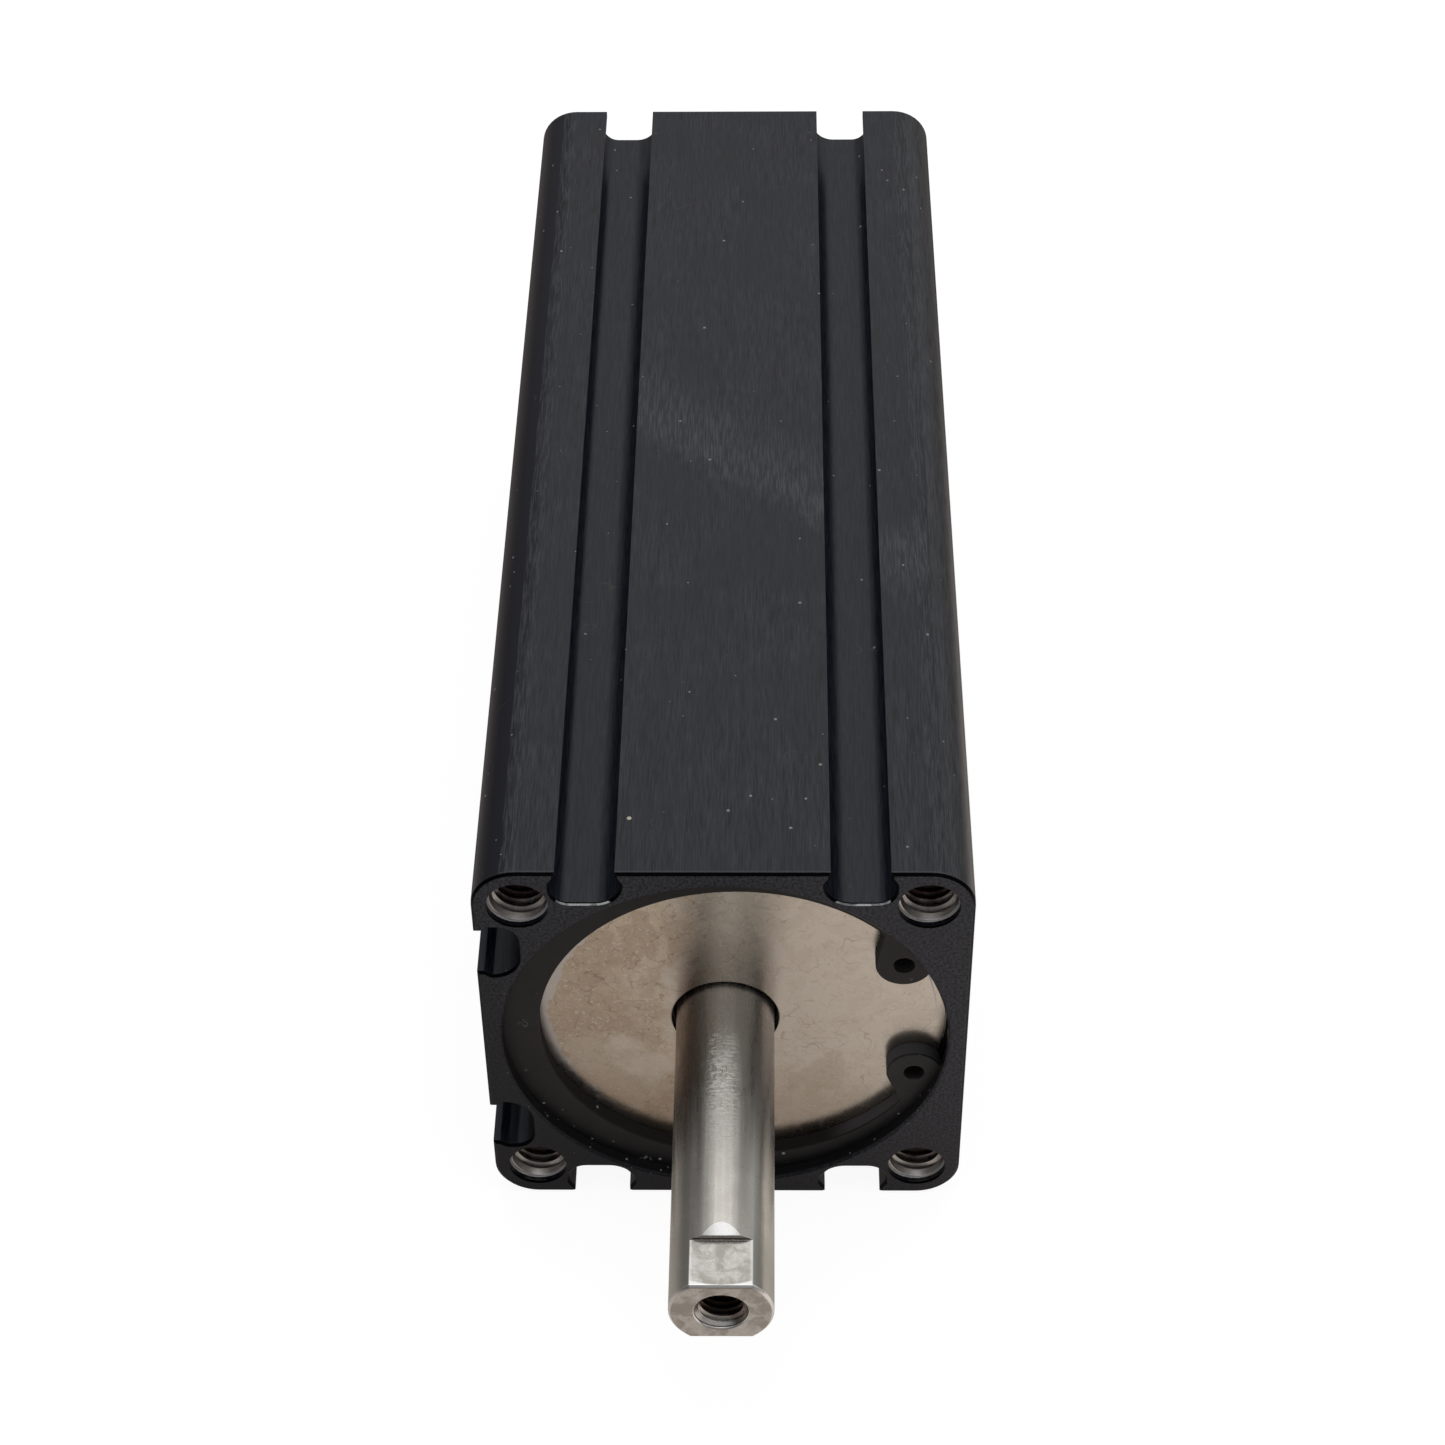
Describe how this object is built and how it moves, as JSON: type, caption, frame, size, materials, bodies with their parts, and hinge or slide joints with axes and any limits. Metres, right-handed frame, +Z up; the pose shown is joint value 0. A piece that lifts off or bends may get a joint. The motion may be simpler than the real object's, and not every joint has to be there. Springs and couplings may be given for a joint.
{
  "type": "pneumatic cylinder",
  "caption": "Compact square-body air cylinder with T-slots on three sides, tapped corner holes, covers behind retaining rings and a sliding rod with wrench flats.",
  "frame": {"origin": "centre of the tube's front face, on the axis of the rod", "axes": "-Y along the rod, out of the tube; +Y towards the rear face; +Z up; +X towards the side with the air ports"},
  "size_m": [0.049, 0.1672, 0.049],
  "materials": {
    "black_anodised": "brushed black anodised aluminium",
    "cover_metal": "warm grey passivated aluminium, mottled",
    "ring_steel": "black phosphated spring steel",
    "rod_steel": "satin stainless steel",
    "zinc_steel": "zinc plated",
    "piston_metal": "machined",
    "bronze": "sintered bronze",
    "seal_rubber": "matt nitrile rubber",
    "bumper_rubber": "matt polyurethane",
    "magnet_plastic": "plastic-bonded ferrite",
    "guide_plastic": "filled acetal"
  },
  "bodies": {
    "cylinder": {"cylinder_tube": "black_anodised", "rod_cover": "cover_metal", "rod_bush": "bronze", "rod_seal": "seal_rubber", "rod_cover_o_ring": "seal_rubber", "front_bumper": "bumper_rubber", "front_retaining_ring": "ring_steel", "head_cover": "cover_metal", "head_cover_o_ring": "seal_rubber", "rear_bumper": "bumper_rubber", "rear_retaining_ring": "ring_steel"},
    "piston_seals": {"piston_wear_ring": "guide_plastic", "piston_seal_front": "seal_rubber", "piston_seal_rear": "seal_rubber"},
    "rod": {"piston_rod": "rod_steel", "piston_front_half": "piston_metal", "piston_rear_half": "piston_metal", "piston_magnet": "magnet_plastic", "piston_o_ring": "seal_rubber", "piston_washer": "zinc_steel", "piston_nut": "zinc_steel"}
  },
  "joints": [
    {"name": "rod_slide", "type": "slide", "parent": "cylinder", "child": "piston_seals", "axis": [0, -1, 0], "range_m": [-0.0262, 0.0638]},
    {"name": "rod_turn", "type": "hinge", "parent": "piston_seals", "child": "rod", "pos_m": [0, 0.0858, 0], "axis": [0, -1, 0], "continuous": true}
  ]
}
